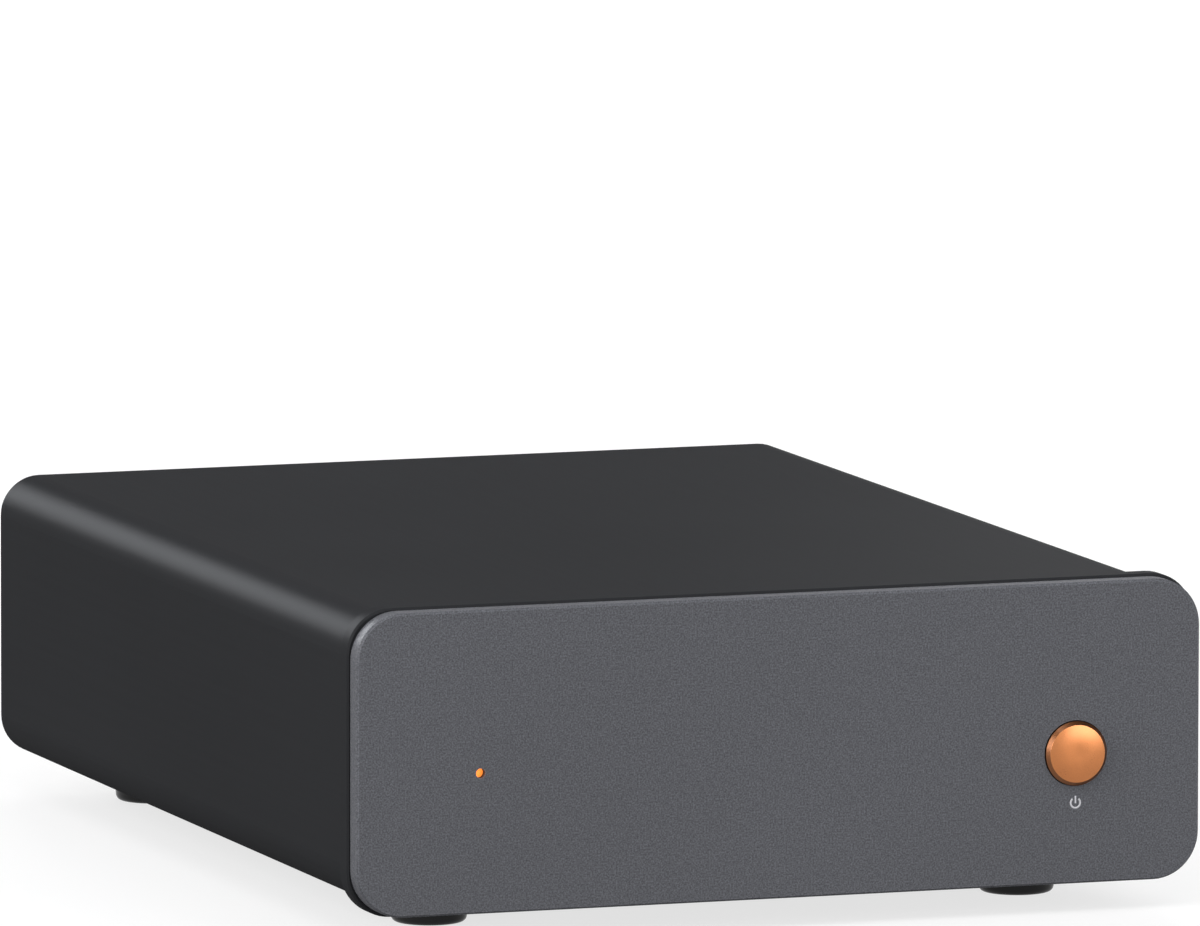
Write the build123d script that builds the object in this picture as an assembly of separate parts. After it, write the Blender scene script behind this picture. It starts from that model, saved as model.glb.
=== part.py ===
"""Phono preamplifier: an extruded housing on four feet, with a faceplate, a rear panel and one board.

Units are millimetres. +X is to the right seen from the front, +Y runs from the faceplate to the rear
panel and +Z is up. The origin is on the surface that the feet stand on, under the middle of the box.
"""
from math import cos, radians
import os

from build123d import *

# ---------------------------------------------------------------- driving sizes
# Housing: one length of extruded aluminium tube
housing_width = 104.0
housing_height = 34.5
housing_length = 133.2
housing_corner = 4.9
housing_wall = 2.0
screw_inset = 4.65            # end screw axis in from the housing's side
screw_channel_radius = 3.1
slot_rib_depth = 2.2
slot_rib_thickness = 1.2
slot_clearance = 0.1

# Front: faceplate bonded to a frame that is screwed to the housing
faceplate_thickness = 2.3
faceplate_overhang = 0.75     # past the housing, all round
faceplate_chamfer = 0.25      # front edge
film_thickness = 0.45
film_inset = 0.2              # inside the faceplate's edge, all round
frame_thickness = 2.65
frame_overhang = 1.02         # past the housing, all round
frame_corner = 5.4
frame_chamfer = 0.25
locating_bar_length = 78.0
locating_bar_height = 1.6
locating_bar_depth = 1.8
locating_clearance = 0.12

# Rear panel
rear_panel_thickness = 2.0
rear_panel_inset = 0.6        # inside the housing's edge, all round
rear_panel_chamfer = 0.2

# Spaces along the rear panel: how the width left over between its parts is dealt out,
# from the screw channel beside the input jacks to the one beside the power jack
first_space = 1.45            # screw channel to input jacks
second_space = 2.1            # input jacks to gain switch
third_space = 3.0             # gain switch to output jacks
fourth_space = 3.5            # output jacks to power jack
fifth_space = 1.65            # power jack to screw channel

# M3 countersunk end screws, front and rear
screw_radius = 1.45
screw_head_radius = 2.9
screw_head_rim = 0.3          # straight rim of the head
screw_head_gap = 0.12         # round the rim
screw_length = 9.0
screw_hole_clearance = 0.15
hex_socket_width = 2.0
hex_socket_depth = 1.1

# Feet
foot_height = 4.4
foot_top_radius = 4.87
foot_bottom_radius = 4.44
foot_edge_radius = 0.75
foot_side_inset = 14.95       # foot's middle, in from the housing's side
foot_end_inset = 14.3         # from each end of the housing
foot_recess_radius = 2.95
foot_recess_depth = 2.1
foot_screw_radius = 1.25
foot_screw_head_radius = 2.7
foot_screw_head_height = 1.7
foot_screw_grip = 3.4         # shank past the top of the foot
foot_cross_length = 2.4
foot_cross_width = 0.5
foot_cross_depth = 0.9

# Main board
board_thickness = 1.6
board_side_gap = 0.3
board_front_gap = 3.0
board_rear_gap = 0.3
pin_radius = 0.4
pin_below_board = 1.0

# Phono jacks: two moulded blocks of two jacks
jack_axis_above_board = 7.65
jack_pitch = 13.9
jack_block_margin = 6.5       # block past the jack's axis, at each end
jack_block_depth = 13.0
jack_block_above_axis = 6.3
jack_block_round = 0.8
jack_collar_radius = 4.98
jack_collar_recess = 0.1      # collar face below the rear panel's face
jack_hole_clearance = 0.08
shell_radius = 4.2
shell_bore_radius = 3.25
shell_neck_radius = 3.9       # the part inside the block
shell_neck_length = 6.0       # behind the rear panel's inner face
shell_reach = 9.0             # past the rear panel
shell_rim_chamfer = 0.4
shell_mouth_chamfer = 0.45
insulator_recess = 0.45
insulator_dish_radius = 2.75
insulator_dish_depth = 0.4
insulator_lip_width = 0.3
insulator_lip_height = 0.25
socket_radius = 1.725         # hole for the plug's pin
contact_radius = 2.15
contact_set_back = 3.4        # contact tube behind the insulator's face
contact_bore_depth = 10.0
contact_floor = 1.0
contact_tail_radius = 1.2

# Gain switch and knob
gain_axis_above_board = 11.15
gain_case_lift = 1.2          # case above the board
gain_case_width = 13.4
gain_case_depth = 9.6
gain_case_wall = 1.3
gain_bushing_radius = 3.3
gain_shaft_radius = 2.0
gain_shaft_flat = 0.5
gain_running_clearance = 0.05
gain_rotor_radius = 4.6
gain_rotor_thickness = 2.6
gain_rotor_clearance = 0.3
knob_radius = 5.18
knob_length = 11.4
knob_base_length = 6.0
knob_gap = 0.6                # between the rear panel and the knob
knob_grip_width = 2.7
knob_grip_round = 0.85        # fillet from grip to base
knob_edge_round = 0.4
knob_bore_depth = 4.6
knob_slope = 1.3              # sloped end of the grip
knob_notch_width = 0.5
knob_notch_inset = 1.6        # notch, in from the knob's edge
knob_step_drop = 0.9          # grip's end below its top, past the notch

# Cartridge type slide switch, under the board
mode_off_centre = 0.15        # from the gain switch's axis
mode_slot_length = 5.9
mode_slot_height = 2.6
mode_travel = 2.0
mode_case_width = 9.6
mode_case_height = 3.2
mode_case_depth = 4.6
mode_case_wall = 0.4
mode_base_depth = 1.4
mode_cap_width = 2.1
mode_cap_height = 2.05
mode_cap_recess = 0.3         # cap below the rear panel's face
mode_cap_gap = 0.12           # between the cap and the switch's case
mode_stem_width = 1.3
mode_stem_height = 1.1
mode_stem_clearance = 0.15
mode_carriage_width = 6.2      # covers the window at both ends of the travel
mode_groove_width = 0.55
mode_groove_depth = 0.5
mode_pin_above_board = 0.6

# AC power jack
power_axis_above_board = 6.15
power_ring_radius = 3.78
power_ring_proud = 0.2
power_hole_clearance = 0.1
power_opening_width = 5.75    # across the flats of the eight-sided opening
power_notch_width = 0.42
power_notch_depth = 0.2       # past the opening's corners
power_ring_depth = 9.5
power_body_width = 9.6
power_body_depth = 13.5
power_body_above_axis = 4.8
power_pin_radius = 1.05
power_pin_round = 0.45
power_pin_root_radius = 0.8   # the part inside the body
power_pin_set_back = 1.6      # pin tip behind the rear panel's face
power_pin_slot = 0.3
power_pin_slot_depth = 3.0

# Ground terminal
ground_axis_below_ceiling = 5.55
ground_post_radius = 3.0
ground_bore_radius = 2.1
ground_bore_depth = 14.0
ground_post_inside = 6.5      # behind the rear panel's inner face
ground_nut_radius = 5.1
ground_nut_teeth = 34
ground_groove_radius = 0.33
ground_nut_chamfer = 0.35
ground_nut_clearance = 0.05
ground_nut_travel = 3.0       # how far the nut opens
ground_nut_hold = 4.0         # thread still in the nut when it is open
ground_washer_radius = 4.4
ground_washer_thickness = 1.0
ground_washer_gap = 0.05
ground_hex_width = 8.0
ground_hex_thickness = 3.0
ground_lug_radius = 4.2
ground_lug_thickness = 0.8
ground_lug_tab_width = 2.6
ground_lug_tab_length = 8.0   # from the post's axis
ground_wire_radius = 0.65
ground_wire_bend = 3.0
ground_wire_length = 19.0     # from the lug to where the wire turns down

# Power button and its switch
button_inset = 10.25          # button's axis, in from the end screws
button_axis_above_board = 5.25
button_radius = 3.85
button_clearance = 0.1
button_proud = 1.0
button_bevel = 0.42
button_dome = 0.3             # middle of the face above its edge
button_flat_radius = 0.8      # flat in the middle of the dome
button_travel = 1.5
button_flange_radius = 4.6
button_flange_thickness = 1.2
button_rest_gap = 0.1
plunger_radius = 1.5
plunger_clearance = 0.05
plunger_grip = 3.0            # plunger inside the button
power_switch_gap = 9.0        # from the frame to the switch's case
power_switch_width = 8.5
power_switch_above_axis = 4.2
power_switch_wall = 1.4
power_chamber_radius = 2.3
plunger_head_radius = 2.0
plunger_head_length = 2.2
spring_space = 7.4            # left behind the plunger when it is pressed
spring_wire_radius = 0.2
spring_radius = 1.45
spring_turns = 5
spring_end_gap = 0.05

# Power light
light_inset = 9.95            # light's axis, in from the end screws
light_axis_above_board = 6.3
light_hole_radius = 0.58
light_set_back = 1.0          # tip of the guide behind the faceplate's face
light_guide_radius = 1.5
light_guide_reach = 3.2       # guide behind the frame
led_radius = 1.5
led_length = 4.3
led_flange_radius = 1.9
led_flange_length = 1.0
led_gap = 0.3
led_dome_share = 0.9          # rounding of the lens, as a share of its radius
led_leg_radius = 0.25
led_leg_pitch = 2.54
led_leg_run = 2.0
led_holder_width = 5.0

# Parts on the board
capacitor_radius = 5.0
capacitor_height = 16.0
capacitor_pitch = 12.0
coupling_radius = 3.2
coupling_height = 8.0
film_capacitor_size = (7.2, 3.5, 7.5)
socket_size = (7.6, 10.2, 3.2)
chip_size = (6.4, 9.6, 3.4)
heatsink_size = (3.0, 16.0, 17.0)
heatsink_fin_length = 6.0
heatsink_fin_thickness = 1.0
heatsink_fin_count = 5
regulator_size = (3.2, 10.2, 9.2)
regulator_tab_thickness = 1.3
regulator_tab_height = 15.0
regulator_lift = 3.5
diode_radius = 1.35
diode_length = 5.2
resistor_radius = 1.0
resistor_length = 6.3
resistor_pitch = 3.6
lead_radius = 0.3
lead_reach = 1.5              # lead past the end of a diode or resistor
can_round = 0.6
can_groove = 0.7
chip_mark_radius = 0.7
diode_pitch = 3.8
first_diode_gap = 4.0
first_row_gap = 5.0
row_gap = 1.6                 # between rows of parts
op_amp_pitch = 26.0
regulator_gap = 17.0

# ---------------------------------------------------------------- stations worked out from the sizes
mid_height = foot_height + housing_height / 2
inner_width = housing_width - 2 * housing_wall
inner_height = housing_height - 2 * housing_wall
inner_floor = foot_height + housing_wall
inner_ceiling = foot_height + housing_height - housing_wall
screw_x = housing_width / 2 - screw_inset
board_top = mid_height - jack_axis_above_board
board_bottom = board_top - board_thickness
board_width = inner_width - 2 * board_side_gap

ground_nut_length = ground_nut_travel + ground_nut_hold
ground_reach = ground_washer_gap + ground_washer_thickness + ground_nut_length
rear_reach = max(knob_gap + knob_length, shell_reach, ground_reach)
front_depth = faceplate_thickness + film_thickness + frame_thickness
overall_depth = button_proud + front_depth + housing_length + rear_panel_thickness + rear_reach
face_y = button_proud - overall_depth / 2
film_y = face_y + faceplate_thickness
frame_y = film_y + film_thickness
housing_front = frame_y + frame_thickness
housing_rear = housing_front + housing_length
panel_face = housing_rear + rear_panel_thickness
board_front = housing_front + board_front_gap
board_rear = housing_rear - board_rear_gap

jack_block_width = jack_pitch + 2 * jack_block_margin
row_width = 2 * (screw_x - screw_channel_radius)
parts_width = 2 * jack_block_width + gain_case_width + power_body_width
spaces_total = first_space + second_space + third_space + fourth_space + fifth_space
spread = (row_width - parts_width) / spaces_total
input_pair_x = row_width / 2 - spread * first_space - jack_block_width / 2
gain_x = input_pair_x - jack_block_width / 2 - spread * second_space - gain_case_width / 2
output_pair_x = gain_x - gain_case_width / 2 - spread * third_space - jack_block_width / 2
terminal_x = output_pair_x - jack_block_width / 2 - spread * fourth_space - power_body_width / 2
mode_x = gain_x - mode_off_centre
button_x = screw_x - button_inset
light_x = light_inset - screw_x

gain_z = board_top + gain_axis_above_board
mode_z = board_bottom - mode_case_height / 2
power_jack_z = board_top + power_axis_above_board
ground_z = inner_ceiling - ground_axis_below_ceiling
button_z = board_top + button_axis_above_board
light_z = board_top + light_axis_above_board

jack_front = housing_rear - jack_block_depth
shell_front = housing_rear - shell_neck_length
shell_end = panel_face + shell_reach
insulator_face = shell_end - insulator_recess
contact_end = insulator_face - contact_set_back
contact_bore_end = contact_end - contact_bore_depth
gain_case_front = housing_rear - gain_case_depth
power_body_front = housing_rear - power_body_depth
switch_front = housing_front + power_switch_gap
chamber_front = switch_front + power_switch_wall
plunger_rear = chamber_front + button_rest_gap + plunger_head_length
chamber_rear = plunger_rear + button_travel + spring_space
switch_rear = chamber_rear + power_switch_wall
power_switch_length = switch_rear - switch_front
led_front = housing_front + light_guide_reach + led_gap
led_rear = led_front + led_length + led_flange_length

collar_face = panel_face - jack_collar_recess
shell_leg_y = shell_front + 2 * pin_radius
contact_leg_y = jack_front - 2 * pin_radius
contact_back = contact_bore_end - contact_floor
pin_bottom = board_bottom - pin_below_board

gain_case_bottom = board_top + gain_case_lift
gain_chamber_rear = housing_rear - gain_case_wall
rotor_rear = gain_chamber_rear - gain_rotor_clearance
knob_front = panel_face + knob_gap
knob_base_end = knob_front + knob_base_length
knob_end = knob_front + knob_length
gain_pin_y = gain_case_front + 3 * pin_radius
gain_pin_places = [gain_x + place * gain_case_width / 6 for place in (-2, -1, 0, 1, 2)]

mode_inner_width = mode_case_width - 2 * mode_case_wall
mode_inner_height = mode_case_height - 2 * mode_case_wall
mode_case_front = housing_rear - mode_case_depth
mode_base_end = mode_case_front + mode_base_depth
mode_face_inside = housing_rear - mode_case_wall
mode_pin_y = mode_case_front - 2 * pin_radius
mode_pin_places = [mode_x + place * mode_case_width / 4 for place in (-1, 0, 1)]

power_ring_end = panel_face + power_ring_proud
power_ring_front = power_ring_end - power_ring_depth
power_ring_leg_y = power_ring_front + 2 * pin_radius
power_pin_leg_y = power_body_front - 2 * pin_radius

ground_thread_bore = ground_post_radius + ground_nut_clearance
ground_washer_front = panel_face + ground_washer_gap
ground_nut_front = ground_washer_front + ground_washer_thickness
ground_end = panel_face + ground_reach
ground_lug_front = housing_rear - ground_lug_thickness

button_rear = housing_front + button_rest_gap + button_flange_thickness
power_pin_places = [
    (button_x + side * power_switch_width / 4, switch_front + share * power_switch_length)
    for side in (-1, 1)
    for share in (0.25, 0.75)
]
switch_pin_places = power_pin_places + [(x, gain_pin_y) for x in gain_pin_places]

led_leg_y = led_rear + led_leg_run
led_leg_places = [light_x - led_leg_pitch / 2, light_x + led_leg_pitch / 2]

diode_rows = [power_body_front - first_diode_gap - row * diode_pitch for row in range(4)]
first_capacitor = diode_rows[-1] - diode_radius - row_gap - capacitor_radius
capacitor_rows = [first_capacitor - row * capacitor_pitch for row in range(4)]
regulator_x = terminal_x + capacitor_radius + regulator_gap
regulator_rows = [capacitor_rows[0], capacitor_rows[2]]
channel_x = [input_pair_x - jack_pitch / 2, input_pair_x + jack_pitch / 2, gain_x]
resistor_rows = [jack_front - first_row_gap - row * resistor_pitch for row in range(4)]
first_op_amp = resistor_rows[-1] - resistor_radius - row_gap - socket_size[1] / 2
op_amp_rows = [first_op_amp - row * op_amp_pitch for row in (0, 1)]
film_rows = [y - socket_size[1] / 2 - row_gap - film_capacitor_size[1] / 2 for y in op_amp_rows]
coupling_rows = [y - film_capacitor_size[1] / 2 - row_gap - coupling_radius for y in film_rows]

foot_x = housing_width / 2 - foot_side_inset
foot_places = [
    (across, along)
    for across in (-foot_x, foot_x)
    for along in (housing_front + foot_end_inset, housing_rear - foot_end_inset)
]
jack_places = {
    "input_right": input_pair_x + jack_pitch / 2,
    "input_left": input_pair_x - jack_pitch / 2,
    "output_right": output_pair_x + jack_pitch / 2,
    "output_left": output_pair_x - jack_pitch / 2,
}


# ---------------------------------------------------------------- helpers
def slab(width, height, corner, start, depth):
    """A plate that faces along Y, with rounded corners, centred on the housing's section."""
    plane = Plane(origin=(0, start, mid_height), x_dir=(1, 0, 0), z_dir=(0, 1, 0))
    return extrude(plane * RectangleRounded(width, height, corner), depth)


def rod(radius, start, end, x, z):
    """A round bar along Y from start to end."""
    bar = Cylinder(radius, end - start, rotation=(90, 0, 0))
    return Pos(x, (start + end) / 2, z) * bar


def post(radius, bottom, top, x, y):
    """A round bar along Z from bottom to top."""
    return Pos(x, y, (bottom + top) / 2) * Cylinder(radius, top - bottom)


def block(x_range, y_range, z_range):
    """A box given by its low and high limits on each axis."""
    sizes = [high - low for low, high in (x_range, y_range, z_range)]
    middle = [(high + low) / 2 for low, high in (x_range, y_range, z_range)]
    return Pos(*middle) * Box(*sizes)


def around(middle, size):
    """The low and high limits of a size that is centred on a middle."""
    return (middle - size / 2, middle + size / 2)


def turned(profile, x, z):
    """A shape of revolution about a Y axis through x and z, from (radius, y) points."""
    outline = make_face(Polyline(*profile, close=True))
    return Pos(x, 0, z) * revolve(outline, Axis.Y)


def hexagon_bar(width, start, end, x, z):
    """A six-sided bar along Y, with a corner on each side."""
    plane = Plane(origin=(x, start, z), x_dir=(1, 0, 0), z_dir=(0, 1, 0))
    corner_radius = width / 2 / cos(radians(30))
    return extrude(plane * RegularPolygon(corner_radius, 6), end - start)


# ---------------------------------------------------------------- screws
def screw_rod(radius, start, end, x):
    """A round bar on an end screw's axis, between two stations in either order."""
    return rod(radius, min(start, end), max(start, end), x, mid_height)


def screw_head(face, direction, x):
    """A countersunk head flush with the face: a straight rim, and a cone that runs inwards."""
    rim_end = face + direction * screw_head_rim
    cone_end = rim_end + direction * (screw_head_radius - screw_radius)
    profile = [
        (0, face),
        (screw_head_radius, face),
        (screw_head_radius, rim_end),
        (screw_radius, cone_end),
        (0, cone_end),
    ]
    return turned(profile, x, mid_height)


def end_screw(face, direction, x):
    """One M3 countersunk screw, its head flush with the face, running inwards along direction."""
    shank = screw_rod(screw_radius, face, face + direction * screw_length, x)
    floor = face + direction * hex_socket_depth
    socket = hexagon_bar(hex_socket_width, min(face, floor), max(face, floor), x, mid_height)
    return screw_head(face, direction, x) + shank - socket


def end_screw_cut(face, direction, x, thickness):
    """The hole for an end screw in a plate, with a seat for its head and a gap round the head's rim."""
    hole = screw_rod(screw_radius + screw_hole_clearance, face, face + direction * thickness, x)
    rim = screw_rod(screw_head_radius + screw_head_gap, face, face + direction * screw_head_rim, x)
    return hole + rim + screw_head(face, direction, x)


def make_rear_screws():
    return Compound(children=[end_screw(panel_face, -1, side * screw_x) for side in (-1, 1)])


def make_front_screws():
    return Compound(children=[end_screw(frame_y, 1, side * screw_x) for side in (-1, 1)])


# ---------------------------------------------------------------- housing
def make_housing():
    tube = slab(housing_width, housing_height, housing_corner, housing_front, housing_length)
    inner_corner = max(housing_corner - housing_wall, 0.3)
    tube -= slab(inner_width, inner_height, inner_corner, housing_front, housing_length)
    for side in (-1, 1):
        wall_x = side * inner_width / 2
        rib_x = tuple(sorted((wall_x + side * housing_wall / 2, wall_x - side * slot_rib_depth)))
        length = (housing_front, housing_rear)
        slot_top = board_top + slot_clearance
        tube += block(rib_x, length, (board_bottom - slot_rib_thickness, board_bottom))
        tube += block(rib_x, length, (slot_top, slot_top + slot_rib_thickness))
        tube += rod(screw_channel_radius, housing_front, housing_rear, side * screw_x, mid_height)
        tube -= rod(screw_radius, housing_front, housing_rear, side * screw_x, mid_height)
    for x, y in foot_places:
        tube -= post(foot_screw_radius, foot_height, inner_floor, x, y)
    return tube


# ---------------------------------------------------------------- front
def light_bore(start, end, radius):
    return rod(radius, start, end, light_x, light_z)


def make_faceplate():
    width = housing_width + 2 * faceplate_overhang
    height = housing_height + 2 * faceplate_overhang
    plate = slab(width, height, housing_corner + faceplate_overhang, face_y, faceplate_thickness)
    plate = chamfer(plate.faces().sort_by(Axis.Y)[0].edges(), faceplate_chamfer)
    plate -= rod(button_radius + button_clearance, face_y, film_y, button_x, button_z)
    plate -= light_bore(face_y, film_y, light_hole_radius)
    return plate


def make_faceplate_film():
    grow = 2 * (faceplate_overhang - film_inset)
    corner = housing_corner + faceplate_overhang - film_inset
    film = slab(housing_width + grow, housing_height + grow, corner, film_y, film_thickness)
    film -= rod(button_radius + 2 * button_clearance, film_y, frame_y, button_x, button_z)
    film -= light_bore(film_y, frame_y, light_guide_radius)
    return film


def make_front_frame():
    width = housing_width + 2 * frame_overhang
    height = housing_height + 2 * frame_overhang
    frame = slab(width, height, frame_corner, frame_y, frame_thickness)
    ends = frame.faces().filter_by(Axis.Y)
    frame = chamfer(ends.edges(), frame_chamfer)
    bar_x = around(0, locating_bar_length)
    bar_y = (housing_front, housing_front + locating_bar_depth)
    top = inner_ceiling - locating_clearance
    bottom = inner_floor + locating_clearance
    frame += block(bar_x, bar_y, (top - locating_bar_height, top))
    frame += block(bar_x, bar_y, (bottom, bottom + locating_bar_height))
    frame -= rod(button_radius + button_clearance, frame_y, housing_front, button_x, button_z)
    frame -= light_bore(frame_y, housing_front, light_guide_radius)
    for side in (-1, 1):
        frame -= end_screw_cut(frame_y, 1, side * screw_x, frame_thickness)
    return frame


# ---------------------------------------------------------------- rear panel
def mode_slot(start, end):
    """The round-ended window for the slide switch's cap."""
    plane = Plane(origin=(mode_x, start, mode_z), x_dir=(1, 0, 0), z_dir=(0, 1, 0))
    return extrude(plane * SlotOverall(mode_slot_length, mode_slot_height), end - start)


def make_rear_panel():
    width = housing_width - 2 * rear_panel_inset
    height = housing_height - 2 * rear_panel_inset
    panel = slab(width, height, housing_corner - rear_panel_inset, housing_rear, rear_panel_thickness)
    panel = chamfer(panel.faces().sort_by(Axis.Y)[-1].edges(), rear_panel_chamfer)
    for x in jack_places.values():
        panel -= rod(jack_collar_radius + jack_hole_clearance, housing_rear, panel_face, x, mid_height)
    panel -= rod(gain_bushing_radius, housing_rear, panel_face, gain_x, gain_z)
    panel -= mode_slot(housing_rear, panel_face)
    ring_hole = power_ring_radius + power_hole_clearance
    panel -= rod(ring_hole, housing_rear, panel_face, terminal_x, power_jack_z)
    panel -= rod(ground_post_radius, housing_rear, panel_face, terminal_x, ground_z)
    for side in (-1, 1):
        panel -= end_screw_cut(panel_face, -1, side * screw_x, rear_panel_thickness)
    return panel


# ---------------------------------------------------------------- feet
def make_feet():
    taper = (foot_top_radius - foot_bottom_radius) / foot_height
    feet = []
    for x, y in foot_places:
        foot = Pos(x, y, foot_height / 2) * Cone(foot_bottom_radius, foot_top_radius, foot_height)
        edge = foot.edges().filter_by(GeomType.CIRCLE).sort_by(Axis.Z)[0]
        foot = fillet(edge, min(foot_edge_radius, foot_height / 2 - taper))
        foot -= post(foot_recess_radius, 0, foot_recess_depth, x, y)
        foot -= post(foot_screw_radius, 0, foot_height, x, y)
        feet.append(foot)
    return Compound(children=feet)


def make_foot_screws():
    screws = []
    for x, y in foot_places:
        head_bottom = foot_recess_depth - foot_screw_head_height
        head = post(foot_screw_head_radius, head_bottom, foot_recess_depth, x, y)
        rim = head.edges().filter_by(GeomType.CIRCLE).sort_by(Axis.Z)[0]
        head = fillet(rim, foot_screw_head_height / 3)
        shank = post(foot_screw_radius, foot_recess_depth, foot_height + foot_screw_grip, x, y)
        cross_z = (head_bottom, head_bottom + foot_cross_depth)
        cross = block(around(x, foot_cross_length), around(y, foot_cross_width), cross_z)
        cross += block(around(x, foot_cross_width), around(y, foot_cross_length), cross_z)
        screws.append(head + shank - cross)
    return Compound(children=screws)


# ---------------------------------------------------------------- phono jacks
def make_jack_block(middle):
    """A moulded block with two collars that reach through the rear panel."""
    top = mid_height + jack_block_above_axis
    body = block(around(middle, jack_block_width), (jack_front, housing_rear), (board_top, top))
    body = fillet(body.edges().filter_by(Axis.Y).sort_by(Axis.Z)[-2:], jack_block_round)
    for side in (-1, 1):
        x = middle + side * jack_pitch / 2
        body += rod(jack_collar_radius, housing_rear, collar_face, x, mid_height)
        body -= rod(shell_neck_radius, shell_front, collar_face, x, mid_height)
        body -= rod(contact_tail_radius, jack_front, shell_front, x, mid_height)
        body -= post(pin_radius, board_top, mid_height, x, shell_leg_y)
    return body


def make_jack_shell(x):
    """The outer contact: a turned tube with a chamfered rim and a flared mouth, and its leg."""
    profile = [
        (shell_bore_radius, shell_front),
        (shell_neck_radius, shell_front),
        (shell_neck_radius, collar_face),
        (shell_radius, collar_face),
        (shell_radius, shell_end - shell_rim_chamfer),
        (shell_radius - shell_rim_chamfer, shell_end),
        (shell_bore_radius + shell_mouth_chamfer, shell_end),
        (shell_bore_radius, shell_end - shell_mouth_chamfer),
    ]
    wall_middle = (shell_bore_radius + shell_neck_radius) / 2
    leg = post(pin_radius, pin_bottom, mid_height - wall_middle, x, shell_leg_y)
    return turned(profile, x, mid_height) + leg


def make_jack_insulator(x):
    """The moulded sleeve between shell and contact, dished round a lip at the plug's hole."""
    lip_radius = socket_radius + insulator_lip_width
    dish_floor = insulator_face - insulator_dish_depth
    profile = [
        (contact_tail_radius, shell_front),
        (shell_bore_radius, shell_front),
        (shell_bore_radius, insulator_face),
        (insulator_dish_radius, insulator_face),
        (lip_radius, dish_floor),
        (lip_radius, dish_floor + insulator_lip_height),
        (socket_radius, dish_floor + insulator_lip_height),
        (socket_radius, contact_end),
        (contact_radius, contact_end),
        (contact_radius, contact_back),
        (contact_tail_radius, contact_back),
    ]
    return turned(profile, x, mid_height)


def make_jack_contact(x):
    """The inner contact: a socket for the plug's pin, with a tail and a leg behind the block."""
    tail_end = jack_front - 3 * pin_radius
    contact = rod(contact_radius, contact_back, contact_end, x, mid_height)
    contact -= rod(socket_radius, contact_bore_end, contact_end, x, mid_height)
    contact += rod(contact_tail_radius, tail_end, contact_back, x, mid_height)
    contact += post(pin_radius, pin_bottom, mid_height, x, contact_leg_y)
    return contact


def make_jack_contacts(pair):
    places = [jack_places[pair + "_right"], jack_places[pair + "_left"]]
    return Compound(children=[make_jack_contact(x) for x in places])


# ---------------------------------------------------------------- gain switch and knob
def gain_flat(start, end):
    """What the flat takes off the shaft, on its upper side."""
    top = gain_z + gain_shaft_radius
    return block(around(gain_x, 2 * gain_shaft_radius), (start, end), (top - gain_shaft_flat, top))


def make_gain_switch_case():
    width = around(gain_x, gain_case_width)
    height = (gain_case_bottom, gain_z + gain_case_width / 2)
    case = block(width, (gain_case_front, housing_rear), height)
    chamber_radius = gain_rotor_radius + gain_rotor_clearance
    chamber_front = gain_case_front + gain_case_wall
    case -= rod(chamber_radius, chamber_front, gain_chamber_rear, gain_x, gain_z)
    case -= rod(gain_bushing_radius, gain_chamber_rear, housing_rear, gain_x, gain_z)
    return case


def make_gain_bushing():
    bushing = rod(gain_bushing_radius, gain_chamber_rear, panel_face, gain_x, gain_z)
    bore = gain_shaft_radius + gain_running_clearance
    return bushing - rod(bore, gain_chamber_rear, panel_face, gain_x, gain_z)


def make_gain_rotor():
    rotor = rod(gain_rotor_radius, rotor_rear - gain_rotor_thickness, rotor_rear, gain_x, gain_z)
    return rotor - rod(gain_shaft_radius, rotor_rear - gain_rotor_thickness, rotor_rear, gain_x, gain_z)


def make_gain_shaft():
    shaft_end = knob_front + knob_bore_depth
    shaft = rod(gain_shaft_radius, rotor_rear - gain_rotor_thickness, shaft_end, gain_x, gain_z)
    return shaft - gain_flat(knob_front, shaft_end)


def make_gain_knob():
    """A round base with a grip bar across it, hollow underneath for the shaft."""
    base = rod(knob_radius, knob_front, knob_base_end, gain_x, gain_z)
    base = fillet(base.edges().filter_by(GeomType.CIRCLE), knob_edge_round)
    root = knob_base_end - knob_base_length / 2
    grip_half = knob_grip_width / 2
    flare_half = grip_half + knob_grip_round
    flare_end = knob_base_end + knob_grip_round
    grip = block(around(gain_x, knob_grip_width), (root, knob_end), around(gain_z, 2 * knob_radius))
    grip += block(around(gain_x, 2 * flare_half), (root, flare_end), around(gain_z, 2 * knob_radius))
    for side in (-1, 1):
        x = gain_x + side * flare_half
        grip -= post(knob_grip_round, gain_z - knob_radius, gain_z + knob_radius, x, flare_end)
    barrel = rod(knob_radius, root, knob_end, gain_x, gain_z)
    barrel = fillet(barrel.edges().filter_by(GeomType.CIRCLE).sort_by(Axis.Y)[-1], knob_edge_round)
    knob = base + (grip & barrel)
    top = gain_z + knob_radius
    slope_corners = [(0, knob_end, top - knob_slope), (0, knob_end, top), (0, knob_end - knob_slope, top)]
    slope = Polyline(*slope_corners, close=True)
    wide = 4 * knob_grip_width
    knob -= Pos(gain_x - wide / 2, 0, 0) * extrude(make_face(slope), amount=wide, dir=(1, 0, 0))
    low = gain_z - knob_radius
    notch = (low + knob_notch_inset, low + knob_notch_inset + knob_notch_width)
    span = around(gain_x, 2 * flare_half)
    knob -= block(span, (knob_end - knob_step_drop, knob_end), (low, notch[1]))
    knob -= block(span, (knob_end - 2 * knob_step_drop, knob_end), notch)
    bore_end = knob_front + knob_bore_depth
    bore = rod(gain_shaft_radius, knob_front, bore_end, gain_x, gain_z)
    return knob - (bore - gain_flat(knob_front, bore_end))


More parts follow.
